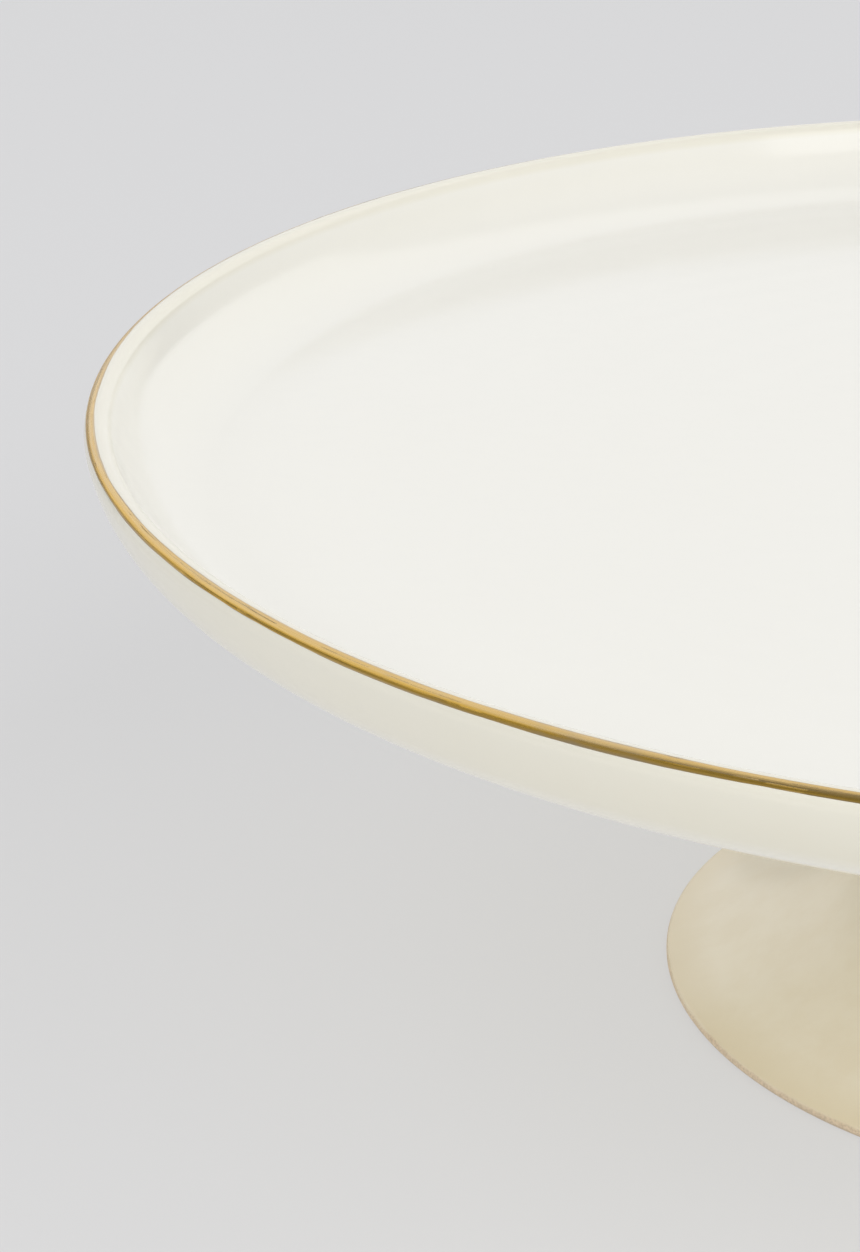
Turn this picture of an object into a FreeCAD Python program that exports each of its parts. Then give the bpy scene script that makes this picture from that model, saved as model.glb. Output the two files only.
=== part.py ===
import FreeCAD, Part

import math
import os

# A pedestal cake stand: a shallow glazed dish with a gilt lip, bonded to a hollow flared foot.
# The origin is on the floor at the centre of the foot and +Z points up. Every sub-part is turned
# about Z, so each one is drawn as a half section in the XZ plane and revolved. Millimetres.

# Plate: flat well, short upturned rim and rounded lip.
STAND_HEIGHT = 91.5
PLATE_RADIUS = 150.0
LIP_ROUND = 1.9
WELL_Z = 80.0
WELL_FILLET = 14.0
RIM_INNER_LEAN = math.radians(25.0)
RIM_OUTER_LEAN = math.radians(9.0)
RIM_TURN_RADIUS = 14.0
UNDERSIDE_Z = 74.0
UNDERSIDE_RISE = math.radians(24.0)

# Pedestal: hollow waisted trumpet, open underneath, standing on a narrow bare foot ring.
FOOT_RADIUS = 68.5
FOOT_EDGE_Z = 0.8
FOOT_EDGE_ROUND = 0.7
FOOT_RING_WIDTH = 9.5
FOOT_FLARE = math.radians(73.0)
WAIST_RADIUS = 30.0
PEDESTAL_WALL = 3.8

# Bond of fired slip between plate and pedestal, squeezed out to a small fillet.
BOND_THICKNESS = 0.6
BOND_FILLET = 3.0

# Gilt let flush into the top and outer side of the lip, angles measured outward from straight up.
GILT_THICKNESS = 0.3
GILT_START = math.radians(8.0)
GILT_END = math.radians(57.0)
GILT_LANDS = 3

RIGHT_ANGLE = math.pi / 2.0
FULL_TURN = 360.0
ORIGIN = FreeCAD.Vector(0.0, 0.0, 0.0)
AXIS = FreeCAD.Vector(0.0, 0.0, 1.0)

# Derived: the waist is one arc whose centre lies outside the pedestal, level with the waist.
FLARE_START_R = FOOT_RADIUS - FOOT_EDGE_ROUND * (1.0 - math.cos(FOOT_FLARE))
FLARE_START_Z = FOOT_EDGE_Z + FOOT_EDGE_ROUND * math.sin(FOOT_FLARE)
WAIST_ARC = (FLARE_START_R - WAIST_RADIUS) / (1.0 - math.cos(FOOT_FLARE))
WAIST_CENTRE_R = WAIST_RADIUS + WAIST_ARC
WAIST_Z = FLARE_START_Z + WAIST_ARC * math.sin(FOOT_FLARE)
HEAD_Z = UNDERSIDE_Z - BOND_THICKNESS
LIP_CENTRE_R = PLATE_RADIUS - LIP_ROUND
LIP_CENTRE_Z = STAND_HEIGHT - LIP_ROUND


def at(r, z):
    """Return the half-section point at radius r and height z."""
    return FreeCAD.Vector(r, 0.0, z)


def on_circle(centre, radius, angle):
    """Return the point on a section circle, with the angle measured up from the outward radius."""
    return centre + FreeCAD.Vector(radius * math.cos(angle), 0.0, radius * math.sin(angle))


def arc(centre, radius, start, end):
    """Return the arc edge of a section circle from one angle to another."""
    middle = (start + end) / 2.0
    points = [on_circle(centre, radius, angle) for angle in (start, middle, end)]
    return Part.Arc(*points).toShape()


def line(start, end):
    """Return the straight edge between two section points."""
    return Part.LineSegment(start, end).toShape()


def turned(edges):
    """Revolve a closed half section about the stand's axis into a solid."""
    face = Part.Face(Part.Wire(edges))
    return face.revolve(ORIGIN, AXIS, FULL_TURN)


def lines(points):
    """Return the straight edges that join points in turn."""
    return [line(start, end) for start, end in zip(points, points[1:])]


def gilt_points(radius):
    """Return the points between the gilt's conical lands, from its outer to its inner edge."""
    centre = at(LIP_CENTRE_R, LIP_CENTRE_Z)
    step = (GILT_END - GILT_START) / GILT_LANDS
    angles = [RIGHT_ANGLE - GILT_END + step * index for index in range(GILT_LANDS + 1)]
    return [on_circle(centre, radius, angle) for angle in angles]


def lip_edges(centre, start, end):
    """Return the lip's edges from its outer to its inner end, with the shallow seat of the gilt."""
    seat_start = RIGHT_ANGLE - GILT_END
    seat_end = RIGHT_ANGLE - GILT_START
    seat = [
        on_circle(centre, LIP_ROUND, seat_start),
        *gilt_points(LIP_ROUND - GILT_THICKNESS),
        on_circle(centre, LIP_ROUND, seat_end),
    ]
    return [
        arc(centre, LIP_ROUND, start, seat_start),
        *lines(seat),
        arc(centre, LIP_ROUND, seat_end, end),
    ]


def plate():
    """Return the dish: a rounded lip, an outer wall that turns under, and an inner wall and well."""
    lip_centre = at(LIP_CENTRE_R, LIP_CENTRE_Z)
    inner_angle = math.pi - RIM_INNER_LEAN
    lip_inner = on_circle(lip_centre, LIP_ROUND, inner_angle)

    turn_centre = on_circle(lip_centre, LIP_ROUND - RIM_TURN_RADIUS, -RIM_OUTER_LEAN)
    turn_angle = UNDERSIDE_RISE - RIGHT_ANGLE
    rim_turn = arc(turn_centre, RIM_TURN_RADIUS, turn_angle, -RIM_OUTER_LEAN)
    rim_start = on_circle(turn_centre, RIM_TURN_RADIUS, turn_angle)
    belly_radius = (rim_start.z - UNDERSIDE_Z) / (1.0 - math.cos(UNDERSIDE_RISE))
    flat_radius = rim_start.x - belly_radius * math.sin(UNDERSIDE_RISE)
    belly = arc(at(flat_radius, UNDERSIDE_Z + belly_radius), belly_radius, -RIGHT_ANGLE, turn_angle)

    wall_foot_z = WELL_Z + WELL_FILLET * (1.0 - math.sin(RIM_INNER_LEAN))
    wall_foot_r = lip_inner.x - (lip_inner.z - wall_foot_z) * math.tan(RIM_INNER_LEAN)
    well_radius = wall_foot_r - WELL_FILLET * math.cos(RIM_INNER_LEAN)
    fillet = arc(at(well_radius, WELL_Z + WELL_FILLET), WELL_FILLET, -RIM_INNER_LEAN, -RIGHT_ANGLE)

    return turned([
        line(at(0.0, UNDERSIDE_Z), at(flat_radius, UNDERSIDE_Z)),
        belly,
        rim_turn,
        *lip_edges(lip_centre, -RIM_OUTER_LEAN, inner_angle),
        line(lip_inner, at(wall_foot_r, wall_foot_z)),
        fillet,
        line(at(well_radius, WELL_Z), at(0.0, WELL_Z)),
        line(at(0.0, WELL_Z), at(0.0, UNDERSIDE_Z)),
    ])


def waist_radius_at(z, wall):
    """Return the pedestal's radius at height z, a wall's depth inside its outer face."""
    reach = WAIST_ARC + wall
    return WAIST_CENTRE_R - math.sqrt(reach ** 2 - (z - WAIST_Z) ** 2)


def waist_angle_at(z, wall):
    """Return the angle on the waist arc, a wall's depth inside the outer face, at height z."""
    return math.pi - math.asin((z - WAIST_Z) / (WAIST_ARC + wall))


def pedestal():
    """Return the hollow flared foot, from its bare foot ring up to the open head."""
    waist_centre = at(WAIST_CENTRE_R, WAIST_Z)
    ring_inner_r = FOOT_RADIUS - FOOT_RING_WIDTH
    edge_centre_r = FOOT_RADIUS - FOOT_EDGE_ROUND
    inner_reach = WAIST_ARC + PEDESTAL_WALL
    ring_top_z = WAIST_Z - math.sqrt(inner_reach ** 2 - (WAIST_CENTRE_R - ring_inner_r) ** 2)

    under_edge = arc(at(edge_centre_r, FOOT_EDGE_ROUND), FOOT_EDGE_ROUND, -RIGHT_ANGLE, 0.0)
    over_edge = arc(at(edge_centre_r, FOOT_EDGE_Z), FOOT_EDGE_ROUND, 0.0, FOOT_FLARE)
    outer = arc(waist_centre, WAIST_ARC, math.pi + FOOT_FLARE, waist_angle_at(HEAD_Z, 0.0))
    inner = arc(
        waist_centre,
        inner_reach,
        waist_angle_at(HEAD_Z, PEDESTAL_WALL),
        waist_angle_at(ring_top_z, PEDESTAL_WALL),
    )
    head_outer = at(waist_radius_at(HEAD_Z, 0.0), HEAD_Z)
    head_inner = at(waist_radius_at(HEAD_Z, PEDESTAL_WALL), HEAD_Z)

    return turned([
        line(at(ring_inner_r, 0.0), at(edge_centre_r, 0.0)),
        under_edge,
        line(at(FOOT_RADIUS, FOOT_EDGE_ROUND), at(FOOT_RADIUS, FOOT_EDGE_Z)),
        over_edge,
        outer,
        line(head_outer, head_inner),
        inner,
        line(at(ring_inner_r, ring_top_z), at(ring_inner_r, 0.0)),
    ])


def bond_ring():
    """Return the slip joint: a thin disc ring under the plate with an outside fillet."""
    fillet_z = HEAD_Z - BOND_FILLET
    inner_r = waist_radius_at(HEAD_Z, PEDESTAL_WALL)
    head_r = waist_radius_at(HEAD_Z, 0.0)
    fillet_foot = at(waist_radius_at(fillet_z, 0.0), fillet_z)
    brim = at(head_r + BOND_FILLET, UNDERSIDE_Z)
    hollow = at(head_r + BOND_FILLET / 3.0, UNDERSIDE_Z - BOND_FILLET / 3.0)

    return turned([
        line(at(inner_r, HEAD_Z), at(inner_r, UNDERSIDE_Z)),
        line(at(inner_r, UNDERSIDE_Z), brim),
        Part.Arc(brim, hollow, fillet_foot).toShape(),
        arc(
            at(WAIST_CENTRE_R, WAIST_Z),
            WAIST_ARC,
            waist_angle_at(fillet_z, 0.0),
            waist_angle_at(HEAD_Z, 0.0),
        ),
        line(at(head_r, HEAD_Z), at(inner_r, HEAD_Z)),
    ])


def gilt_band():
    """Return the gilt: a thin skin of conical lands in its seat on the lip."""
    over = gilt_points(LIP_ROUND)
    under = gilt_points(LIP_ROUND - GILT_THICKNESS)
    return turned(lines([*over, *reversed(under), over[0]]))


PARTS = {
    "plate": plate,
    "pedestal": pedestal,
    "bond_ring": bond_ring,
    "gilt_rim_band": gilt_band,
}

os.makedirs("parts", exist_ok=True)
for name, make in PARTS.items():
    make().exportStep(f"parts/{name}.step")
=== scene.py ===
import logging
import math
from dataclasses import dataclass, field
from enum import Enum

import bpy
from mathutils import Matrix, Vector


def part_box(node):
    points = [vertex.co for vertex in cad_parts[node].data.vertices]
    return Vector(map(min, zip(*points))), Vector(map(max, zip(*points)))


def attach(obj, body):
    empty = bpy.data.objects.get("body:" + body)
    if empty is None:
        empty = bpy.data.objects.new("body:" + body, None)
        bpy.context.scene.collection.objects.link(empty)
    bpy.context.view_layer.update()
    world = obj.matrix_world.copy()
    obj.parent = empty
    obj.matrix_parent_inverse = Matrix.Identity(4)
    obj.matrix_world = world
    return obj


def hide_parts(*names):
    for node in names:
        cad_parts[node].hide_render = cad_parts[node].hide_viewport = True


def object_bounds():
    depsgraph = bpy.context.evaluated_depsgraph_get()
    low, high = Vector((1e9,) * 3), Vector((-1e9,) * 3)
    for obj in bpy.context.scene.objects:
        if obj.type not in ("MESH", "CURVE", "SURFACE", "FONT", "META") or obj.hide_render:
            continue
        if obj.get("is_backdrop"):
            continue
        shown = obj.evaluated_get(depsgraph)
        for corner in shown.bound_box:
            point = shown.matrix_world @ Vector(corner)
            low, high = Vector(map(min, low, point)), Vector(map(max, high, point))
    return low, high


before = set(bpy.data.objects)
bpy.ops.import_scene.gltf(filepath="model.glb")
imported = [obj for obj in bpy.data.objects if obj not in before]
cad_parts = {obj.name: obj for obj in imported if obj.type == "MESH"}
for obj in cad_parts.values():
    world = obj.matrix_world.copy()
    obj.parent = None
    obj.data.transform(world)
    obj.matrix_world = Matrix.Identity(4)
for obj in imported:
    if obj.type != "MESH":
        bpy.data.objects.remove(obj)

# A low pedestal cake stand: a white dish with a gilt lip, joined by slip to a beige flared foot.
# Every piece is turned about Z, so each is drawn as a half section and lathed in Geometry Nodes.
# All sizes are in metres and all angles in radians unless a name says otherwise.

MM = 0.001
RIGHT_ANGLE = math.pi / 2.0
FULL_TURN = 2.0 * math.pi
WELD_DISTANCE = 0.001 * MM
BODY = "root"

log = logging.getLogger("cake_stand")


class Node(Enum):
    """The nodes of the stand's frame."""

    PLATE = "plate"
    PEDESTAL = "pedestal"
    BOND = "bond_ring"
    GILT = "gilt_rim_band"


class Slot(Enum):
    """The material slots of the stand's record."""

    PLATE = "plate_glaze"
    PEDESTAL = "pedestal_glaze"
    BOND = "bond_slip"
    GILT = "gilt"


class Layout(Enum):
    """How a half section's two coordinates are read by the lathe."""

    RADIUS_HEIGHT = "radius and height"
    AROUND_LIP = "share of the way round the lip, and height above it"


class Shines(Enum):
    """The surfaces on which a studio light is seen."""

    EVERYWHERE = "glossy and matt surfaces"
    IN_GLOSS = "reflections only"
    ON_MATT = "matt surfaces only"


# ---------------------------------------------------------------- node helpers


@dataclass
class Wiring:
    """A node tree under construction."""

    tree: bpy.types.NodeTree

    def node(self, kind: str, **settings: object) -> bpy.types.Node:
        """Add a node.

        Args:
            kind: the node's type name.
            settings: properties to set on it.

        Returns:
            The new node.
        """
        made = self.tree.nodes.new(kind)
        for name, value in settings.items():
            setattr(made, name, value)
        return made

    def feed(self, socket: bpy.types.NodeSocket, value: object) -> None:
        """Link a socket to another node's output, or set its value.

        Args:
            socket: the input to fill.
            value: an output socket, or a plain value.
        """
        if isinstance(value, bpy.types.NodeSocket):
            self.tree.links.new(value, socket)
        else:
            socket.default_value = value

    def math(self, operation: str, *values: object, clamp: bool = False) -> bpy.types.NodeSocket:
        """Add a maths node.

        Args:
            operation: the operation's name.
            values: up to three numbers or sockets.
            clamp: whether the result is held between 0 and 1.

        Returns:
            The node's result.
        """
        made = self.node("ShaderNodeMath", operation=operation, use_clamp=clamp)
        for socket, value in zip(made.inputs, values):
            self.feed(socket, value)
        return made.outputs[0]

    def whole(self, operation: str, *values: object) -> bpy.types.NodeSocket:
        """Add an integer maths node.

        Args:
            operation: the operation's name.
            values: the whole numbers or sockets.

        Returns:
            The node's result.
        """
        made = self.node("FunctionNodeIntegerMath", operation=operation)
        for socket, value in zip(made.inputs, values):
            self.feed(socket, value)
        return made.outputs[0]

    def combine(self, x: object, y: object, z: object) -> bpy.types.NodeSocket:
        """Join three numbers into a vector.

        Args:
            x: the first number or socket.
            y: the second number or socket.
            z: the third number or socket.

        Returns:
            The vector.
        """
        made = self.node("ShaderNodeCombineXYZ")
        for socket, value in zip(made.inputs, (x, y, z)):
            self.feed(socket, value)
        return made.outputs[0]

    def separate(self, vector: object) -> tuple[bpy.types.NodeSocket, ...]:
        """Split a vector.

        Args:
            vector: the vector's socket.

        Returns:
            Its three numbers.
        """
        made = self.node("ShaderNodeSeparateXYZ")
        self.feed(made.inputs[0], vector)
        return tuple(made.outputs)

    def noise(
        self,
        vector: object,
        scale: float,
        detail: float,
        roughness: float = 0.5,
    ) -> bpy.types.NodeSocket:
        """Add a noise texture.

        Args:
            vector: where it is read.
            scale: its features per unit.
            detail: its octaves.
            roughness: how strong its finer octaves are.

        Returns:
            The noise, around 0.5.
        """
        made = self.node("ShaderNodeTexNoise")
        self.feed(made.inputs["Vector"], vector)
        self.feed(made.inputs["Scale"], scale)
        self.feed(made.inputs["Detail"], detail)
        self.feed(made.inputs["Roughness"], roughness)
        return made.outputs[0]

    def remap(
        self,
        value: object,
        low: float,
        high: float,
        to_low: float,
        to_high: float,
    ) -> bpy.types.NodeSocket:
        """Map a range of values smoothly to another range.

        Args:
            value: the number's socket.
            low: the input that gives to_low.
            high: the input that gives to_high.
            to_low: the result at and below low.
            to_high: the result at and above high.

        Returns:
            The mapped value.
        """
        made = self.node("ShaderNodeMapRange", interpolation_type="SMOOTHSTEP")
        for socket, part in zip(made.inputs, (value, low, high, to_low, to_high)):
            self.feed(socket, part)
        return made.outputs[0]

    def mix_colour(self, share: object, first: object, second: object) -> bpy.types.NodeSocket:
        """Mix two colours.

        Args:
            share: how much of the second there is.
            first: a colour or socket.
            second: a colour or socket.

        Returns:
            The mixed colour.
        """
        made = self.node("ShaderNodeMix", data_type="RGBA")
        colours = [socket for socket in made.inputs if socket.type == "RGBA"]
        self.feed(made.inputs["Factor"], share)
        self.feed(colours[0], first)
        self.feed(colours[1], second)
        return next(socket for socket in made.outputs if socket.type == "RGBA")


# ---------------------------------------------------------------- half sections


@dataclass
class Section:
    """A half section as a run of points, with the glaze's state and painted shade at each one."""

    points: list[tuple[float, float]] = field(default_factory=list)
    tone: list[float] = field(default_factory=list)
    pool: list[float] = field(default_factory=list)
    bare: list[float] = field(default_factory=list)

    def add(
        self,
        x: float,
        z: float,
        tone: float = 0.0,
        pool: float = 0.0,
        bare: float = 0.0,
    ) -> None:
        """Add one point.

        Args:
            x: its radius.
            z: its height.
            tone: 0 for the upper colour, 1 for the darker lower one, partly painted shade.
            pool: how thick the glaze has run together there, 0 to 1.
            bare: how bare the clay is there, 0 to 1.
        """
        self.points.append((x, z))
        self.tone.append(tone)
        self.pool.append(pool)
        self.bare.append(bare)

    def line(self, end: tuple[float, float], steps: int, **glaze: float) -> None:
        """Add a straight run from the last point.

        Args:
            end: the last point's radius and height.
            steps: the number of points added.
            glaze: the glaze's state and painted shade at the points.
        """
        start_x, start_z = self.points[-1]
        for step in range(1, steps + 1):
            share = step / steps
            self.add(
                start_x + (end[0] - start_x) * share,
                start_z + (end[1] - start_z) * share,
                **glaze,
            )

    def arc(
        self,
        centre: tuple[float, float],
        radius: float,
        start: float,
        end: float,
        steps: int,
        **glaze: float | tuple[float, float],
    ) -> None:
        """Add a round run.

        Args:
            centre: the arc's centre as radius and height.
            radius: the arc's radius.
            start: the angle of its first point, up from the outward radius.
            end: the angle of its last point.
            steps: the number of stretches in it.
            glaze: the glaze's state and painted shade at the points, or a pair for its two ends.
        """
        ends = {
            label: value if isinstance(value, tuple) else (value, value)
            for label, value in glaze.items()
        }
        for step in range(steps + 1):
            share = step / steps
            angle = start + (end - start) * share
            self.add(
                centre[0] + radius * math.cos(angle),
                centre[1] + radius * math.sin(angle),
                **{label: first + (last - first) * share for label, (first, last) in ends.items()},
            )

    def mesh_object(self, name: str) -> bpy.types.Object:
        """Make the section a mesh of points and edges, with the glaze's state and painted shade as
        attributes.

        Args:
            name: the object's name.

        Returns:
            The object, linked to the scene.
        """
        mesh = bpy.data.meshes.new(name)
        corners = [(x, 0.0, z) for x, z in self.points]
        edges = [(index, index + 1) for index in range(len(corners) - 1)]
        mesh.from_pydata(corners, edges, [])
        for label, values in (("tone", self.tone), ("pool", self.pool), ("bare", self.bare)):
            mesh.attributes.new(label, "FLOAT", "POINT").data.foreach_set("value", values)
        made = bpy.data.objects.new(name, mesh)
        bpy.context.scene.collection.objects.link(made)
        return made


# ---------------------------------------------------------------- the lathe


@dataclass(frozen=True)
class Sway:
    """The slow unevenness that hand turning and firing leave in every piece, always inward."""

    reach: float
    top: float
    drop: float = 0.16 * MM
    draw: float = 0.14 * MM
    lobes: float = 0.55
    seed: float = 4.0
    drop_seed: float = 9.0


@dataclass(frozen=True)
class LipPath:
    """The round path of the lip that a painted band follows."""

    radius: float
    height: float
    round: float
    start: float
    end: float
    waver: float
    waver_lobes: float
    drift: float
    drift_way: float


@dataclass
class Lathe:
    """Turns a half section about Z with Geometry Nodes and returns a plain mesh piece."""

    sway: Sway
    edge_variety: float = 5.0

    def tree(self, layout: Layout) -> bpy.types.NodeTree:
        """Build the lathe's node tree.

        Args:
            layout: how the section's coordinates are read.

        Returns:
            The tree, with named inputs for its sizes.
        """
        tree = bpy.data.node_groups.new(f"lathe_{layout.name.lower()}", "GeometryNodeTree")
        make = tree.interface.new_socket
        make("Section", in_out="INPUT", socket_type="NodeSocketGeometry")
        make("Turned", in_out="OUTPUT", socket_type="NodeSocketGeometry")
        make("Segments", in_out="INPUT", socket_type="NodeSocketInt")
        make("Finish", in_out="INPUT", socket_type="NodeSocketMaterial")
        sizes = ["Sway Reach", "Sway Top", "Sway Drop", "Sway Draw", "Sway Lobes", "Seed"]
        if layout is Layout.AROUND_LIP:
            sizes += ["Lip Radius", "Lip Height", "Lip Round", "Start", "End"]
            sizes += ["Waver", "Waver Lobes", "Drift", "Drift Way X", "Drift Way Y"]
        for size in sizes:
            make(size, in_out="INPUT", socket_type="NodeSocketFloat")

        wiring = Wiring(tree)
        given = wiring.node("NodeGroupInput").outputs
        count = wiring.node("GeometryNodeAttributeDomainSize", component="MESH")
        wiring.feed(count.inputs[0], given["Section"])
        rows = count.outputs["Point Count"]
        grid = wiring.node("GeometryNodeMeshGrid")
        wiring.feed(grid.inputs["Vertices X"], wiring.whole("ADD", given["Segments"], 1))
        wiring.feed(grid.inputs["Vertices Y"], rows)

        index = wiring.node("GeometryNodeInputIndex").outputs[0]
        row = wiring.whole("MODULO", index, rows)
        column = wiring.whole("DIVIDE_FLOOR", index, rows)
        angle = wiring.math("MULTIPLY", wiring.math("DIVIDE", column, given["Segments"]), FULL_TURN)
        along_x = wiring.math("COSINE", angle)
        along_y = wiring.math("SINE", angle)
        place = self._sampled(wiring, given["Section"], row, "FLOAT_VECTOR", None)
        first, _, second = wiring.separate(place)
        if layout is Layout.AROUND_LIP:
            first, second = self._round_the_lip(wiring, given, along_x, along_y, first, second)
        radius, height = self._swayed(wiring, given, along_x, along_y, first, second)

        shaped = wiring.node("GeometryNodeSetPosition")
        wiring.feed(shaped.inputs["Geometry"], grid.outputs["Mesh"])
        turned = wiring.combine(
            wiring.math("MULTIPLY", radius, along_x),
            wiring.math("MULTIPLY", radius, along_y),
            height,
        )
        wiring.feed(shaped.inputs["Position"], turned)
        flow = shaped.outputs[0]
        for label in ("tone", "pool", "bare"):
            store = wiring.node(
                "GeometryNodeStoreNamedAttribute", data_type="FLOAT", domain="POINT"
            )
            wiring.feed(store.inputs["Geometry"], flow)
            wiring.feed(store.inputs["Name"], label)
            value = self._sampled(wiring, given["Section"], row, "FLOAT", label)
            wiring.feed(store.inputs["Value"], value)
            flow = store.outputs[0]

        closed = wiring.node("GeometryNodeMergeByDistance")
        wiring.feed(closed.inputs["Geometry"], flow)
        wiring.feed(closed.inputs["Distance"], WELD_DISTANCE)
        smooth = wiring.node("GeometryNodeSetShadeSmooth")
        wiring.feed(smooth.inputs["Geometry"], closed.outputs[0])
        plain = wiring.node("GeometryNodeRealizeInstances")
        wiring.feed(plain.inputs[0], smooth.outputs[0])
        dressed = wiring.node("GeometryNodeSetMaterial")
        wiring.feed(dressed.inputs["Geometry"], plain.outputs[0])
        wiring.feed(dressed.inputs["Material"], given["Finish"])
        wiring.feed(wiring.node("NodeGroupOutput").inputs["Turned"], dressed.outputs[0])
        return tree

    def _sampled(
        self,
        wiring: Wiring,
        section: bpy.types.NodeSocket,
        row: bpy.types.NodeSocket,
        kind: str,
        label: str | None,
    ) -> bpy.types.NodeSocket:
        """Read a value from the section at a row.

        Args:
            wiring: the tree's wiring.
            section: the section's geometry.
            row: the point to read.
            kind: the value's data type.
            label: the attribute's name, or None for the position.

        Returns:
            The value.
        """
        sample = wiring.node("GeometryNodeSampleIndex", data_type=kind, domain="POINT")
        wiring.feed(sample.inputs["Geometry"], section)
        if label is None:
            source = wiring.node("GeometryNodeInputPosition").outputs[0]
        else:
            named = wiring.node("GeometryNodeInputNamedAttribute", data_type=kind)
            wiring.feed(named.inputs["Name"], label)
            source = named.outputs["Attribute"]
        wiring.feed(sample.inputs["Value"], source)
        wiring.feed(sample.inputs["Index"], row)
        return sample.outputs[0]

    def _swayed(
        self,
        wiring: Wiring,
        given: bpy.types.NodeOutputs,
        along_x: bpy.types.NodeSocket,
        along_y: bpy.types.NodeSocket,
        radius: bpy.types.NodeSocket,
        height: bpy.types.NodeSocket,
    ) -> tuple[bpy.types.NodeSocket, bpy.types.NodeSocket]:
        """Lower and draw in the section by a slow noise round the turn, except on the floor.

        Args:
            wiring: the tree's wiring.
            given: the tree's inputs.
            along_x: the cosine of the turn.
            along_y: the sine of the turn.
            radius: the point's radius.
            height: the point's height.

        Returns:
            The new radius and height.
        """
        spot_x = wiring.math("MULTIPLY", along_x, given["Sway Lobes"])
        spot_y = wiring.math("MULTIPLY", along_y, given["Sway Lobes"])
        outward = wiring.math("POWER", wiring.math("DIVIDE", radius, given["Sway Reach"]), 2.0)
        upward = wiring.math("DIVIDE", height, given["Sway Top"])
        weight = wiring.math("MULTIPLY", outward, upward)
        moved = []
        shifts = ((radius, "Sway Draw", 0.0), (height, "Sway Drop", self.sway.drop_seed))
        for value, size, layer in shifts:
            spot = wiring.combine(spot_x, spot_y, wiring.math("ADD", given["Seed"], layer))
            unevenness = wiring.math("MULTIPLY", wiring.noise(spot, 1.0, 1.0), given[size])
            shift = wiring.math("MULTIPLY", unevenness, weight)
            moved.append(wiring.math("SUBTRACT", value, shift))
        return moved[0], moved[1]

    def _round_the_lip(
        self,
        wiring: Wiring,
        given: bpy.types.NodeOutputs,
        along_x: bpy.types.NodeSocket,
        along_y: bpy.types.NodeSocket,
        share: bpy.types.NodeSocket,
        rise: bpy.types.NodeSocket,
    ) -> tuple[bpy.types.NodeSocket, bpy.types.NodeSocket]:
        """Wrap a flat section round the lip, with brushed edges that waver along the turn.

        Args:
            wiring: the tree's wiring.
            given: the tree's inputs.
            along_x: the cosine of the turn.
            along_y: the sine of the turn.
            share: how far across the band the point is, 0 to 1.
            rise: how far above the lip's surface the point is.

        Returns:
            The radius and height.
        """
        spot = wiring.combine(
            wiring.math("MULTIPLY", along_x, given["Waver Lobes"]),
            wiring.math("MULTIPLY", along_y, given["Waver Lobes"]),
            wiring.math("MULTIPLY_ADD", share, self.edge_variety, given["Seed"]),
        )
        waver = wiring.math("SUBTRACT", wiring.noise(spot, 1.0, 4.0, 0.55), 0.5)
        span = wiring.math("SUBTRACT", given["End"], given["Start"])
        steady = wiring.math("MULTIPLY_ADD", share, span, given["Start"])
        wavering = wiring.math("MULTIPLY_ADD", waver, given["Waver"], steady)
        facing = wiring.math(
            "MULTIPLY_ADD",
            along_x,
            given["Drift Way X"],
            wiring.math("MULTIPLY", along_y, given["Drift Way Y"]),
        )
        drifting = wiring.math("MAXIMUM", facing, 0.0)
        lean = wiring.math("MULTIPLY_ADD", drifting, given["Drift"], wavering)
        reach = wiring.math("ADD", given["Lip Round"], rise)
        outward = wiring.math("SINE", lean)
        upward = wiring.math("COSINE", lean)
        radius = wiring.math("MULTIPLY_ADD", reach, outward, given["Lip Radius"])
        height = wiring.math("MULTIPLY_ADD", reach, upward, given["Lip Height"])
        return radius, height

    def turn(
        self,
        section: Section,
        name: str,
        segments: int,
        finish: bpy.types.Material,
        lip: LipPath | None = None,
    ) -> bpy.types.Object:
        """Turn a section into a closed mesh piece.

        Args:
            section: the half section.
            name: the piece's name.
            segments: the number of steps round the turn.
            finish: the piece's material.
            lip: the lip that the section is wrapped round, or None.

        Returns:
            The piece, with no modifier left on it.
        """
        layout = Layout.RADIUS_HEIGHT if lip is None else Layout.AROUND_LIP
        drawn = section.mesh_object(f"{name}_section")
        modifier = drawn.modifiers.new("lathe", "NODES")
        modifier.node_group = self.tree(layout)
        values: dict[str, object] = {
            "Segments": segments,
            "Finish": finish,
            "Sway Reach": self.sway.reach,
            "Sway Top": self.sway.top,
            "Sway Drop": self.sway.drop,
            "Sway Draw": self.sway.draw,
            "Sway Lobes": self.sway.lobes,
            "Seed": self.sway.seed,
        }
        if lip is not None:
            values |= {
                "Lip Radius": lip.radius,
                "Lip Height": lip.height,
                "Lip Round": lip.round,
                "Start": lip.start,
                "End": lip.end,
                "Waver": lip.waver,
                "Waver Lobes": lip.waver_lobes,
                "Drift": lip.drift,
                "Drift Way X": math.cos(lip.drift_way),
                "Drift Way Y": math.sin(lip.drift_way),
            }
        for item in modifier.node_group.interface.items_tree:
            if item.in_out == "INPUT" and item.name in values:
                modifier[item.identifier] = values[item.name]

        evaluated = drawn.evaluated_get(bpy.context.evaluated_depsgraph_get())
        mesh = bpy.data.meshes.new_from_object(evaluated)
        mesh.name = name
        piece = bpy.data.objects.new(name, mesh)
        bpy.context.scene.collection.objects.link(piece)
        bpy.data.objects.remove(drawn)
        return piece


# ---------------------------------------------------------------- finishes


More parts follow.
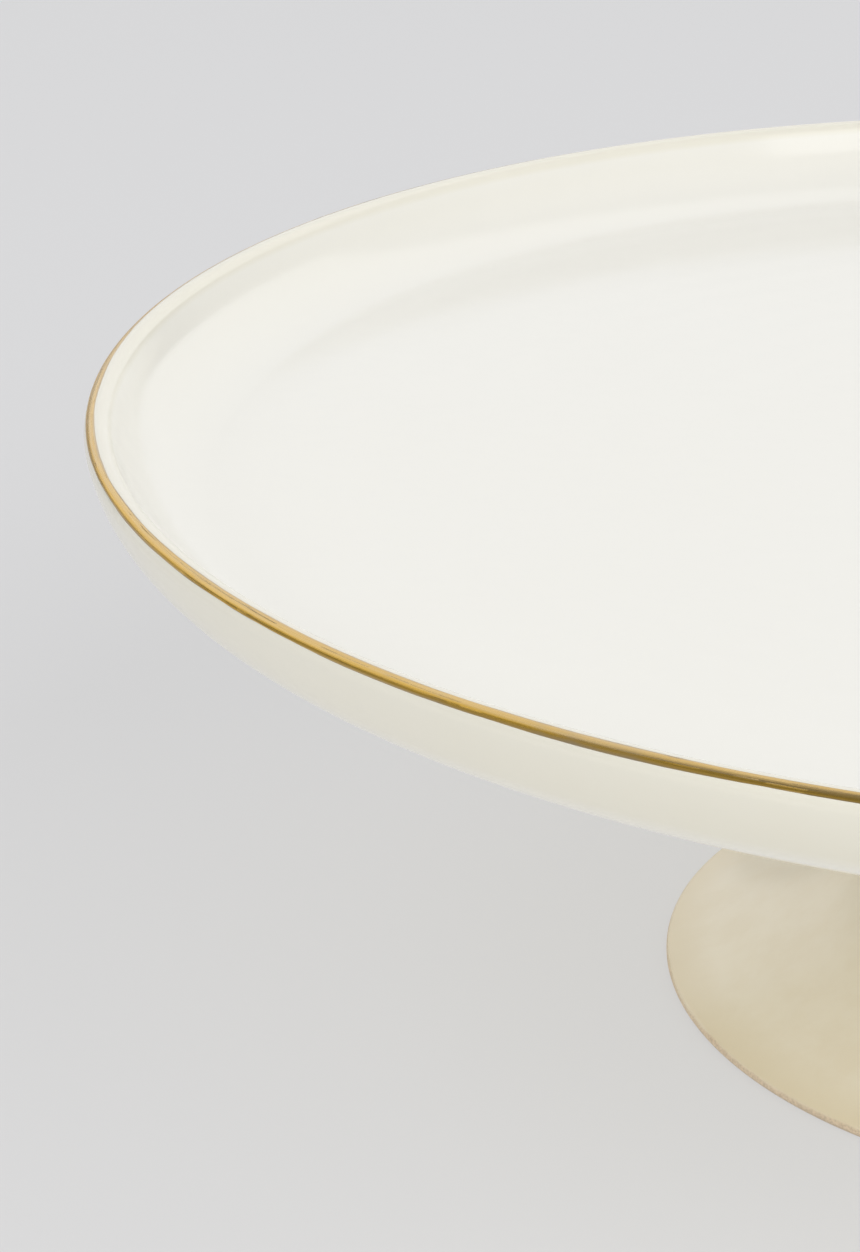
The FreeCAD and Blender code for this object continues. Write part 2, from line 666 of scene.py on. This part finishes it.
@dataclass(frozen=True)
class Glaze:
    """A fired glaze over clay: two tones, the lower one partly painted shade, darker pools, soft
    cloudiness and a bare clay edge.
    """

    name: str
    upper: tuple[float, float, float]
    lower: tuple[float, float, float]
    pooled: tuple[float, float, float]
    clay: tuple[float, float, float]
    cloud_strength: float
    mottle_strength: float
    gloss_roughness: float
    ring_depth: float
    cloud_scale: float = 13.0
    mottle_scale: float = 150.0
    peel_scale: float = 260.0
    peel_depth: float = 0.012 * MM
    ring_pitch: float = 8.5 * MM
    ring_drift_scale: float = 22.0
    duller: float = 0.03
    glossier: float = 0.02
    clay_roughness: float = 0.8
    clay_shade: float = 0.55
    clay_shade_share: float = 0.5
    clay_ragged: float = 0.4
    grain_scale: float = 2600.0
    sand_depth: float = 0.08 * MM
    refraction: float = 1.52

    def material(self) -> bpy.types.Material:
        """Build the glaze's material.

        Returns:
            The material.
        """
        material = bpy.data.materials.new(self.name)
        material.use_nodes = True
        wiring = Wiring(material.node_tree)
        shader = material.node_tree.nodes["Principled BSDF"]
        spot = wiring.node("ShaderNodeTexCoord").outputs["Object"]
        tone = wiring.node("ShaderNodeAttribute", attribute_name="tone").outputs["Fac"]
        pool = wiring.node("ShaderNodeAttribute", attribute_name="pool").outputs["Fac"]
        bare = wiring.node("ShaderNodeAttribute", attribute_name="bare").outputs["Fac"]

        cloud = wiring.noise(spot, self.cloud_scale, 3.0, 0.5)
        mottle = wiring.noise(spot, self.mottle_scale, 5.0, 0.6)
        # Mixing in the lower tone paints shade wherever a section asks for it.
        glaze = wiring.mix_colour(tone, self._colour(self.upper), self._colour(self.lower))
        cloudy = wiring.remap(cloud, 0.3, 0.7, 0.0, self.cloud_strength)
        speckled = wiring.remap(mottle, 0.35, 0.7, 0.0, self.mottle_strength)
        thick = wiring.math("ADD", wiring.math("ADD", cloudy, speckled), pool, clamp=True)
        glaze = wiring.mix_colour(thick, glaze, self._colour(self.pooled))
        grain = wiring.noise(spot, self.grain_scale, 3.0, 0.6)
        fleck = wiring.math("SUBTRACT", mottle, 0.5)
        ragged = wiring.math("MULTIPLY_ADD", fleck, self.clay_ragged, bare)
        bared = wiring.remap(ragged, 0.35, 0.65, 0.0, 1.0)
        sandy = wiring.mix_colour(
            wiring.remap(grain, 0.35, 0.7, 0.0, self.clay_shade_share),
            self._colour(self.clay),
            self._colour(tuple(part * self.clay_shade for part in self.clay)),
        )
        wiring.feed(shader.inputs["Base Color"], wiring.mix_colour(bared, glaze, sandy))

        glossiest = self.gloss_roughness - self.glossier
        dullest = self.gloss_roughness + self.duller
        uneven = wiring.remap(mottle, 0.3, 0.7, glossiest, dullest)
        dullness = wiring.math("MULTIPLY", bared, self.clay_roughness - self.gloss_roughness)
        wiring.feed(shader.inputs["Roughness"], wiring.math("ADD", uneven, dullness))
        shader.inputs["IOR"].default_value = self.refraction
        wiring.feed(shader.inputs["Normal"], self._relief(wiring, spot, grain, bared))
        return material

    def _relief(
        self,
        wiring: Wiring,
        spot: bpy.types.NodeSocket,
        grain: bpy.types.NodeSocket,
        bared: bpy.types.NodeSocket,
    ) -> bpy.types.NodeSocket:
        """Build the glaze's fine relief: orange peel, faint throwing rings and sandy clay.

        Args:
            wiring: the material's wiring.
            spot: the object coordinates.
            grain: the clay's grain.
            bared: how bare the clay is.

        Returns:
            The normal.
        """
        along_x, along_y, _ = wiring.separate(spot)
        square_x = wiring.math("POWER", along_x, 2.0)
        square_y = wiring.math("POWER", along_y, 2.0)
        radius = wiring.math("SQRT", wiring.math("ADD", square_x, square_y))
        slow = wiring.noise(spot, self.ring_drift_scale, 2.0)
        drifted = wiring.math("ADD", radius, wiring.math("MULTIPLY", slow, self.ring_pitch))
        phase = wiring.math("MULTIPLY", drifted, FULL_TURN / self.ring_pitch)
        rings = wiring.math("MULTIPLY", wiring.math("SINE", phase), self.ring_depth)
        dimples = wiring.noise(spot, self.peel_scale, 2.0, 0.4)
        peel = wiring.math("MULTIPLY", dimples, self.peel_depth)
        sand = wiring.math("MULTIPLY", wiring.math("MULTIPLY", grain, bared), self.sand_depth)
        height = wiring.math("ADD", wiring.math("ADD", rings, peel), sand)
        bump = wiring.node("ShaderNodeBump")
        bump.inputs["Strength"].default_value = 1.0
        bump.inputs["Distance"].default_value = 1.0
        wiring.feed(bump.inputs["Height"], height)
        return bump.outputs[0]

    @staticmethod
    def _colour(parts: tuple[float, ...]) -> tuple[float, float, float, float]:
        """Return a colour with full opacity."""
        return (parts[0], parts[1], parts[2], 1.0)


@dataclass(frozen=True)
class Gilding:
    """Brushed-on fired gold: long streaks, an outer part painted deeper as a painted dark
    reflection, thin places and a soft sheen.
    """

    name: str = "fired_gilt"
    gold: tuple[float, float, float] = (0.66, 0.475, 0.215)
    thin: tuple[float, float, float] = (0.52, 0.42, 0.29)
    painted_dark_reflection: tuple[float, float, float] = (0.72, 0.44, 0.06)
    roughness: float = 0.26
    streak_pitch: float = 0.16 * MM
    streak_depth: float = 0.006 * MM
    streak_scale: float = 60.0
    streak_share: float = 0.35
    streak_glossier: float = 0.05
    streak_duller: float = 0.08
    band_width: float = 2.0 * MM
    dark_reflection_share: float = 0.8
    patch_scale: float = 90.0
    patch_share: float = 0.45
    worn_duller: float = 0.12

    def material(self) -> bpy.types.Material:
        """Build the gilt's material.

        Returns:
            The material.
        """
        material = bpy.data.materials.new(self.name)
        material.use_nodes = True
        wiring = Wiring(material.node_tree)
        shader = material.node_tree.nodes["Principled BSDF"]
        spot = wiring.node("ShaderNodeTexCoord").outputs["Object"]
        across = wiring.node("ShaderNodeAttribute", attribute_name="tone").outputs["Fac"]
        edge = wiring.node("ShaderNodeAttribute", attribute_name="pool").outputs["Fac"]

        along_x, along_y, _ = wiring.separate(spot)
        brushed = wiring.combine(
            wiring.math("MULTIPLY", along_x, self.streak_scale),
            wiring.math("MULTIPLY", along_y, self.streak_scale),
            wiring.math("MULTIPLY", across, self.band_width / self.streak_pitch),
        )
        streak = wiring.noise(brushed, 1.0, 4.0, 0.6)
        patch = wiring.noise(spot, self.patch_scale, 3.0, 0.55)
        # The outer part of the band is painted deeper and darker as a painted reflection of a dark
        # surround.
        colour = wiring.mix_colour(
            wiring.math(
                "ADD",
                wiring.remap(streak, 0.3, 0.7, 0.0, self.streak_share),
                wiring.remap(across, 0.45, 0.75, 0.0, self.dark_reflection_share),
                clamp=True,
            ),
            (*self.gold, 1.0),
            (*self.painted_dark_reflection, 1.0),
        )
        patchy = wiring.remap(patch, 0.5, 0.75, 0.0, self.patch_share)
        worn = wiring.math("ADD", edge, patchy, clamp=True)
        wiring.feed(shader.inputs["Base Color"], wiring.mix_colour(worn, colour, (*self.thin, 1.0)))
        shader.inputs["Metallic"].default_value = 1.0
        glossiest = self.roughness - self.streak_glossier
        dullest = self.roughness + self.streak_duller
        sheen = wiring.remap(streak, 0.25, 0.75, glossiest, dullest)
        dull = wiring.math("MULTIPLY_ADD", worn, self.worn_duller, sheen)
        wiring.feed(shader.inputs["Roughness"], dull)
        bump = wiring.node("ShaderNodeBump")
        bump.inputs["Strength"].default_value = 1.0
        bump.inputs["Distance"].default_value = 1.0
        wiring.feed(bump.inputs["Height"], wiring.math("MULTIPLY", streak, self.streak_depth))
        wiring.feed(shader.inputs["Normal"], bump.outputs[0])
        return material


WHITE_GLAZE = Glaze(
    name="warm_white_glaze",
    upper=(0.855, 0.845, 0.795),
    # The lower colour is partly a creamier outer glaze and partly painted shade under the dish.
    lower=(0.72, 0.665, 0.47),
    pooled=(0.84, 0.82, 0.75),
    clay=(0.62, 0.50, 0.36),
    cloud_strength=0.16,
    mottle_strength=0.05,
    gloss_roughness=0.14,
    ring_depth=0.004 * MM,
)

BEIGE_GLAZE = Glaze(
    name="beige_glaze",
    upper=(0.92, 0.865, 0.745),
    # The lower colour is painted shade towards the foot's base edge and inside its hollow.
    lower=(0.84, 0.755, 0.59),
    pooled=(0.82, 0.73, 0.56),
    clay=(0.74, 0.60, 0.43),
    cloud_strength=0.3,
    mottle_strength=0.25,
    gloss_roughness=0.21,
    ring_depth=0.003 * MM,
)


# ---------------------------------------------------------------- pieces


def join_stand(piece: bpy.types.Object, node: Node) -> None:
    """Set a piece on the stand's body in place of its frame node.

    Args:
        piece: the finished piece.
        node: the frame node it stands for.
    """
    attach(piece, BODY)
    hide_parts(node.value)
    log.info("%s: %d faces", piece.name, len(piece.data.polygons))


@dataclass
class Dish:
    """The white dish: flat well, upturned rim, rounded lip, and an outer wall that turns under."""

    lathe: Lathe
    lip_round: float = 1.9 * MM
    well_depth: float = 11.5 * MM
    well_fillet: float = 14.0 * MM
    well_sag: float = 0.25 * MM
    inner_lean: float = math.radians(25.0)
    outer_lean: float = math.radians(9.0)
    rim_turn: float = 14.0 * MM
    underside_rise: float = math.radians(24.0)
    underside_steps: int = 14
    belly_steps: int = 10
    turn_steps: int = 10
    lip_steps: int = 28
    wall_steps: int = 3
    fillet_steps: int = 18
    well_rings: int = 26
    segments: int = 512
    low: Vector = field(default_factory=lambda: Vector(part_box(Node.PLATE.value)[0]))
    high: Vector = field(default_factory=lambda: Vector(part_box(Node.PLATE.value)[1]))

    @property
    def radius(self) -> float:
        """Return the plate's outer radius."""
        return max(self.high.x, self.high.y)

    @property
    def lip_centre(self) -> tuple[float, float]:
        """Return the centre of the lip's round as radius and height."""
        return (self.radius - self.lip_round, self.high.z - self.lip_round)

    @property
    def underside(self) -> float:
        """Return the height of the flat underside."""
        return self.low.z

    def section(self) -> Section:
        """Draw the dish from the middle of its underside, outward, over the lip and in again.

        Returns:
            The closed half section.
        """
        lip_r, lip_z = self.lip_centre
        back = self.rim_turn - self.lip_round
        turn = (lip_r - back * math.cos(self.outer_lean), lip_z + back * math.sin(self.outer_lean))
        turn_start = self.underside_rise - RIGHT_ANGLE
        rise = turn[1] + self.rim_turn * math.sin(turn_start) - self.underside
        belly = rise / (1.0 - math.cos(self.underside_rise))
        belly_r = turn[0] + self.rim_turn * math.cos(turn_start)
        flat_r = belly_r - belly * math.sin(self.underside_rise)
        inner_end = math.pi - self.inner_lean
        lip_in_r = lip_r + self.lip_round * math.cos(inner_end)
        lip_in_z = lip_z + self.lip_round * math.sin(inner_end)
        well_z = self.high.z - self.well_depth
        wall_z = well_z + self.well_fillet * (1.0 - math.sin(self.inner_lean))
        wall_r = lip_in_r - (lip_in_z - wall_z) * math.tan(self.inner_lean)
        well_r = wall_r - self.well_fillet * math.cos(self.inner_lean)

        drawn = Section()
        turn_middle = (turn_start - self.outer_lean) / 2.0
        turn_end = -self.outer_lean
        steps = self.turn_steps
        # The tone paints light and shade: darkest under the dish as painted shade, lighter low on
        # the outer wall as painted floor light, darker higher up as painted shade over a creamier
        # glaze, and a little darker on the inner wall and fillet as painted shade.
        drawn.add(0.0, self.underside, tone=1.0)
        drawn.line((flat_r, self.underside), self.underside_steps, tone=1.0)
        centre = (flat_r, self.underside + belly)
        drawn.arc(centre, belly, -RIGHT_ANGLE, turn_start, self.belly_steps, tone=(1.0, 0.05))
        drawn.arc(turn, self.rim_turn, turn_start, turn_middle, steps, tone=(0.05, 0.5))
        drawn.arc(turn, self.rim_turn, turn_middle, turn_end, steps, tone=(0.5, 0.4))
        centre = (lip_r, lip_z)
        drawn.arc(centre, self.lip_round, turn_end, inner_end, self.lip_steps, tone=(0.4, 0.35))
        drawn.line((wall_r, wall_z), self.wall_steps, tone=0.1)
        centre = (well_r, well_z + self.well_fillet)
        drawn.arc(
            centre,
            self.well_fillet,
            -self.inner_lean,
            -RIGHT_ANGLE,
            self.fillet_steps,
            tone=(0.12, 0.0),
        )
        for step in range(1, self.well_rings + 1):
            share = 1.0 - step / self.well_rings
            sag = self.well_sag * (1.0 - share ** 2) ** 2
            drawn.add(well_r * share, well_z - sag)
        return drawn

    def build(self) -> bpy.types.Object:
        """Turn and dress the dish.

        Returns:
            The piece.
        """
        piece = self.lathe.turn(self.section(), "dish", self.segments, WHITE_GLAZE.material())
        join_stand(piece, Node.PLATE)
        return piece


@dataclass
class GiltLine:
    """The hand-painted gold line on the top and outer side of the dish's lip."""

    lathe: Lathe
    dish: Dish
    start: float = math.radians(8.0)
    end: float = math.radians(54.0)
    waver: float = math.radians(26.0)
    waver_lobes: float = 3.2
    drift: float = math.radians(14.0)
    drift_way: float = math.radians(120.0)
    skin: float = 0.035 * MM
    bed: float = 0.12 * MM
    steps: int = 22
    segments: int = 1536

    def section(self) -> Section:
        """Draw the band's closed section, flat: across the skin and back through its bed.

        Returns:
            The section, as shares of the band's width and heights above the lip.
        """
        drawn = Section()
        for step in range(self.steps + 1):
            share = 1.0 - step / self.steps
            middle = abs(2.0 * share - 1.0)
            drawn.add(share, self.skin * (1.0 - middle ** 6), tone=share, pool=middle ** 5)
        for share in (0.0, 0.5, 1.0):
            drawn.add(share, -self.bed, tone=share)
        drawn.add(1.0, 0.0, tone=1.0, pool=1.0)
        return drawn

    def build(self) -> bpy.types.Object:
        """Turn and dress the gold line.

        Returns:
            The piece.
        """
        lip_r, lip_z = self.dish.lip_centre
        path = LipPath(
            radius=lip_r,
            height=lip_z,
            round=self.dish.lip_round,
            start=self.start,
            end=self.end,
            waver=self.waver,
            waver_lobes=self.waver_lobes,
            drift=self.drift,
            drift_way=self.drift_way,
        )
        finish = Gilding().material()
        piece = self.lathe.turn(self.section(), "gold_line", self.segments, finish, path)
        join_stand(piece, Node.GILT)
        return piece


@dataclass
class Foot:
    """The beige foot: a hollow waisted trumpet on a bare foot ring."""

    lathe: Lathe
    edge_round: float = 0.7 * MM
    edge_z: float = 0.8 * MM
    ring_width: float = 9.5 * MM
    flare: float = math.radians(73.0)
    waist: float = 30.0 * MM
    wall: float = 3.8 * MM
    bare_turn: float = 0.6
    thin_reach: float = math.radians(7.0)
    bare_steps: int = 5
    worn_steps: int = 3
    edge_steps: int = 8
    thin_steps: int = 12
    outer_steps: int = 60
    inner_steps: int = 40
    segments: int = 384
    high: Vector = field(default_factory=lambda: Vector(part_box(Node.PEDESTAL.value)[1]))

    @property
    def radius(self) -> float:
        """Return the foot's outer radius."""
        return max(self.high.x, self.high.y)

    @property
    def head_z(self) -> float:
        """Return the height of the foot's open head."""
        return self.high.z

    @property
    def waist_arc(self) -> float:
        """Return the radius of the arc that the waist follows."""
        start = self.radius - self.edge_round * (1.0 - math.cos(self.flare))
        return (start - self.waist) / (1.0 - math.cos(self.flare))

    @property
    def waist_centre(self) -> tuple[float, float]:
        """Return the centre of the waist's arc, outside the foot, as radius and height."""
        start_z = self.edge_z + self.edge_round * math.sin(self.flare)
        return (self.waist + self.waist_arc, start_z + self.waist_arc * math.sin(self.flare))

    def angle_at(self, z: float, depth: float) -> float:
        """Return the angle on the waist's arc at a height.

        Args:
            z: the height.
            depth: how far inside the outer face.

        Returns:
            The angle.
        """
        return math.pi - math.asin((z - self.waist_centre[1]) / (self.waist_arc + depth))

    def section(self) -> Section:
        """Draw the foot from its inner ring, under the ring, up the outside and down the inside.

        Returns:
            The closed half section.
        """
        ring_r = self.radius - self.ring_width
        edge_r = self.radius - self.edge_round
        inner_arc = self.waist_arc + self.wall
        centre = self.waist_centre
        ring_top = centre[1] - math.sqrt(inner_arc ** 2 - (centre[0] - ring_r) ** 2)
        flare_start = math.pi + self.flare
        thin_end = flare_start - self.thin_reach
        head_end = self.angle_at(self.head_z, 0.0)
        inner_start = self.angle_at(self.head_z, self.wall)
        inner_end = self.angle_at(ring_top, self.wall)
        head_r = centre[0] + inner_arc * math.cos(inner_start)
        under = (edge_r, self.edge_round)
        over = (edge_r, self.edge_z)
        edge = self.edge_round
        # The lower tone in these marks paints shade towards the foot's base edge; the bare share is
        # the glaze thinning to clay there.
        worn = {"bare": (0.9, 0.7), "tone": 1.0}
        thin = {"bare": (0.7, 0.3), "tone": 1.0}
        thinner_and_shaded = {"bare": (0.22, 0.0), "tone": (0.9, 0.0)}

        drawn = Section()
        drawn.add(ring_r, 0.0, bare=1.0)
        drawn.line((edge_r, 0.0), 3, bare=1.0)
        drawn.arc(under, edge, -RIGHT_ANGLE, -self.bare_turn, self.bare_steps, bare=1.0)
        drawn.arc(under, edge, -self.bare_turn, 0.0, self.worn_steps, **worn)
        drawn.arc(over, edge, 0.0, self.flare, self.edge_steps, **thin)
        drawn.arc(centre, self.waist_arc, flare_start, thin_end, self.thin_steps, **thinner_and_shaded)
        drawn.arc(centre, self.waist_arc, thin_end, head_end, self.outer_steps)
        drawn.line((head_r, self.head_z), 2, bare=1.0)
        # The inside of the hollow is painted in the lower tone as painted shade.
        drawn.arc(centre, inner_arc, inner_start, inner_end, self.inner_steps, tone=1.0)
        drawn.line((ring_r, 0.0), 2, bare=0.8)
        return drawn

    def build(self) -> bpy.types.Object:
        """Turn and dress the foot.

        Returns:
            The piece.
        """
        piece = self.lathe.turn(self.section(), "foot", self.segments, BEIGE_GLAZE.material())
        join_stand(piece, Node.PEDESTAL)
        return piece


@dataclass
class SlipJoint:
    """The fired slip between dish and foot, wiped to a small fillet round the foot's head."""

    lathe: Lathe
    dish: Dish
    foot: Foot
    fillet: float = 3.0 * MM
    head_steps: int = 4
    bend_steps: int = 10
    segments: int = 256

    def section(self) -> Section:
        """Draw the joint from its inner edge, down the foot's head and up the fillet.

        Returns:
            The closed half section.
        """
        centre = self.foot.waist_centre
        top = self.dish.underside
        head = self.foot.head_z
        foot_z = head - self.fillet
        arc = self.foot.waist_arc
        inner_angle = self.foot.angle_at(head, self.foot.wall)
        inner_r = centre[0] + (arc + self.foot.wall) * math.cos(inner_angle)
        start = self.foot.angle_at(head, 0.0)
        end = self.foot.angle_at(foot_z, 0.0)
        head_r = centre[0] + arc * math.cos(start)
        low_r = centre[0] + arc * math.cos(end)
        brim_r = head_r + self.fillet
        drawn = Section()
        drawn.add(inner_r, head)
        drawn.line((head_r, head), 2)
        drawn.arc(centre, arc, start, end, self.head_steps)
        for step in range(1, self.bend_steps + 1):
            bend = step / self.bend_steps * RIGHT_ANGLE
            drawn.add(
                low_r + (brim_r - low_r) * (1.0 - math.cos(bend)),
                foot_z + (top - foot_z) * math.sin(bend),
            )
        drawn.line((inner_r, top), 3)
        drawn.line((inner_r, head), 1)
        return drawn

    def build(self, finish: bpy.types.Material) -> bpy.types.Object:
        """Turn and dress the joint.

        Args:
            finish: the glaze that runs over it.

        Returns:
            The piece.
        """
        piece = self.lathe.turn(self.section(), "slip_joint", self.segments, finish)
        join_stand(piece, Node.BOND)
        return piece


# ---------------------------------------------------------------- studio


@dataclass
class SoftLight:
    """A rectangular studio light, placed and aimed by two points, and turned by some degrees."""

    name: str
    place: tuple[float, float, float]
    aim: tuple[float, float, float]
    width: float
    height: float
    radiance: float
    shines: Shines = Shines.EVERYWHERE
    turned: float = 0.0

    def build(self) -> bpy.types.Object:
        """Make the light.

        Returns:
            The light.
        """
        data = bpy.data.lights.new(self.name, "AREA")
        data.shape = "RECTANGLE"
        data.size = self.width
        data.size_y = self.height
        data.energy = self.radiance * math.pi * self.width * self.height
        light = bpy.data.objects.new(self.name, data)
        light.location = self.place
        back = Vector(self.place) - Vector(self.aim)
        turned = Matrix.Rotation(math.radians(self.turned), 3, "Z")
        light.rotation_euler = (back.to_track_quat("Z", "Y").to_matrix() @ turned).to_euler()
        light.visible_glossy = self.shines is not Shines.ON_MATT
        light.visible_diffuse = self.shines is not Shines.IN_GLOSS
        light.visible_camera = False
        bpy.context.scene.collection.objects.link(light)
        return light


@dataclass
class Studio:
    """A plain pale floor, soft lights and the camera."""

    floor_half: float = 6.0
    floor_colour: tuple[float, float, float] = (0.24, 0.24, 0.25)
    floor_shade: float = 0.995
    floor_cloud_scale: float = 3.0
    floor_roughness: float = 0.9
    floor_glow: float = 0.488
    world_strength: float = 0.25
    camera_back: float = 471.0 * MM
    camera_up: float = 242.24 * MM
    camera_pan: float = math.radians(12.62)
    camera_tilt: float = math.radians(22.127)
    camera_roll: float = math.radians(1.018)
    lens_mm: float = 100.0
    sensor_mm: float = 36.0
    nearest: float = 10.0 * MM
    farthest: float = 50.0
    middle: tuple[float, float, float] = (0.0, 0.0, 0.06)

    def floor(self) -> bpy.types.Object:
        """Make the floor: a light table, matt and faintly lit from below.

        Returns:
            The floor.
        """
        half = self.floor_half
        mesh = bpy.data.meshes.new("floor")
        corners = [(-half, -half, 0.0), (half, -half, 0.0), (half, half, 0.0), (-half, half, 0.0)]
        mesh.from_pydata(corners, [], [(0, 1, 2, 3)])
        material = bpy.data.materials.new("pale_paper")
        material.use_nodes = True
        wiring = Wiring(material.node_tree)
        shader = material.node_tree.nodes["Principled BSDF"]
        spot = wiring.node("ShaderNodeTexCoord").outputs["Object"]
        cloud = wiring.noise(spot, self.floor_cloud_scale, 2.0)
        tint = wiring.remap(cloud, 0.3, 0.7, 0.0, 1.0)
        darker = tuple(part * self.floor_shade for part in self.floor_colour)
        colour = wiring.mix_colour(tint, (*self.floor_colour, 1.0), (*darker, 1.0))
        wiring.feed(shader.inputs["Base Color"], colour)
        shader.inputs["Roughness"].default_value = self.floor_roughness
        shader.inputs["Specular IOR Level"].default_value = 0.0
        shader.inputs["Emission Color"].default_value = (1.0, 1.0, 1.0, 1.0)
        shader.inputs["Emission Strength"].default_value = self.floor_glow
        mesh.materials.append(material)
        made = bpy.data.objects.new("floor", mesh)
        bpy.context.scene.collection.objects.link(made)
        made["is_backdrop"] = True
        return made

    def world(self) -> None:
        """Make the even light of the room."""
        world = bpy.data.worlds.new("room")
        world.use_nodes = True
        background = world.node_tree.nodes["Background"]
        background.inputs["Color"].default_value = (1.0, 1.0, 1.0, 1.0)
        background.inputs["Strength"].default_value = self.world_strength
        bpy.context.scene.world = world
        bpy.context.scene.view_settings.view_transform = "Standard"

    def camera(self) -> bpy.types.Object:
        """Make the camera, panned left of the stand's axis, tilted down and rolled a little.

        Returns:
            The camera.
        """
        data = bpy.data.cameras.new("camera")
        data.lens = self.lens_mm
        data.sensor_width = self.sensor_mm
        data.clip_start = self.nearest
        data.clip_end = self.farthest
        camera = bpy.data.objects.new("camera", data)
        turn = Matrix.Rotation(self.camera_pan, 4, "Z")
        tilt = Matrix.Rotation(RIGHT_ANGLE - self.camera_tilt, 4, "X")
        roll = Matrix.Rotation(-self.camera_roll, 4, "Z")
        place = Matrix.Translation((0.0, -self.camera_back, self.camera_up))
        camera.matrix_world = place @ turn @ tilt @ roll
        bpy.context.scene.collection.objects.link(camera)
        bpy.context.scene.camera = camera
        return camera

    def lights(self) -> list[SoftLight]:
        """Return the lights of the set: what shows in the glaze and gilt, then the soft light."""
        middle = self.middle
        matt = Shines.ON_MATT
        gloss = Shines.IN_GLOSS
        scrim = SoftLight(
            "scrim",
            place=(-0.417, 2.098, 0.847),
            aim=(-0.3675, 1.7204, -0.0773),
            width=4.0,
            height=3.4,
            radiance=0.85,
            shines=gloss,
            turned=19.4,
        )
        left_card = SoftLight(
            "left_card",
            place=(-1.6, 0.128, 0.162),
            aim=(0.0, 0.128, 0.162),
            width=1.5,
            height=1.1,
            radiance=0.5,
            shines=gloss,
            turned=24.0,
        )
        return [
            SoftLight("back_panel", (0.03, 2.0, 1.42), (0.03, 0.0, 1.42), 3.3, 2.84, 0.85, matt),
            scrim,
            left_card,
            SoftLight("front_left_card", (-1.42, -1.11, 1.2), middle, 1.6, 1.6, 0.2, gloss),
            SoftLight("front_right_box", (0.91, -1.26, 1.32), middle, 1.3, 0.5, 1.8),
            SoftLight("left_silk", (-1.68, -0.61, 1.67), middle, 2.4, 2.0, 0.73, matt),
            SoftLight("front_silk", (0.0, -1.78, 1.67), middle, 2.4, 2.0, 1.05, matt),
            SoftLight("right_silk", (1.72, -0.46, 1.67), middle, 2.4, 2.0, 1.5, matt),
            SoftLight("left_fill", (-1.82, -1.28, 0.96), middle, 2.0, 1.4, 0.5, matt),
            SoftLight("right_fill", (1.82, -1.28, 0.96), middle, 2.0, 1.4, 1.35, matt),
            SoftLight("table_glow", (0.0, 0.0, 0.0005), (0.0, 0.0, 1.0), 1.2, 1.2, 0.28, matt),
        ]

    def build(self) -> None:
        """Set up the whole studio."""
        self.camera()
        self.floor()
        self.world()
        for light in self.lights():
            light.build()


def main() -> None:
    """Build the studio and the stand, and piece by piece."""
    logging.basicConfig(level=logging.INFO, format="%(name)s: %(message)s")
    frame_box = [list(corner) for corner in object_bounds()]
    Studio().build()

    reach = max(frame_box[1][0], frame_box[1][1])
    lathe = Lathe(Sway(reach=reach, top=frame_box[1][2]))
    dish = Dish(lathe)
    dish.build()
    GiltLine(lathe, dish).build()
    foot = Foot(lathe)
    foot_piece = foot.build()
    SlipJoint(lathe, dish, foot).build(foot_piece.data.materials[0])


if __name__ == "__main__":
    main()
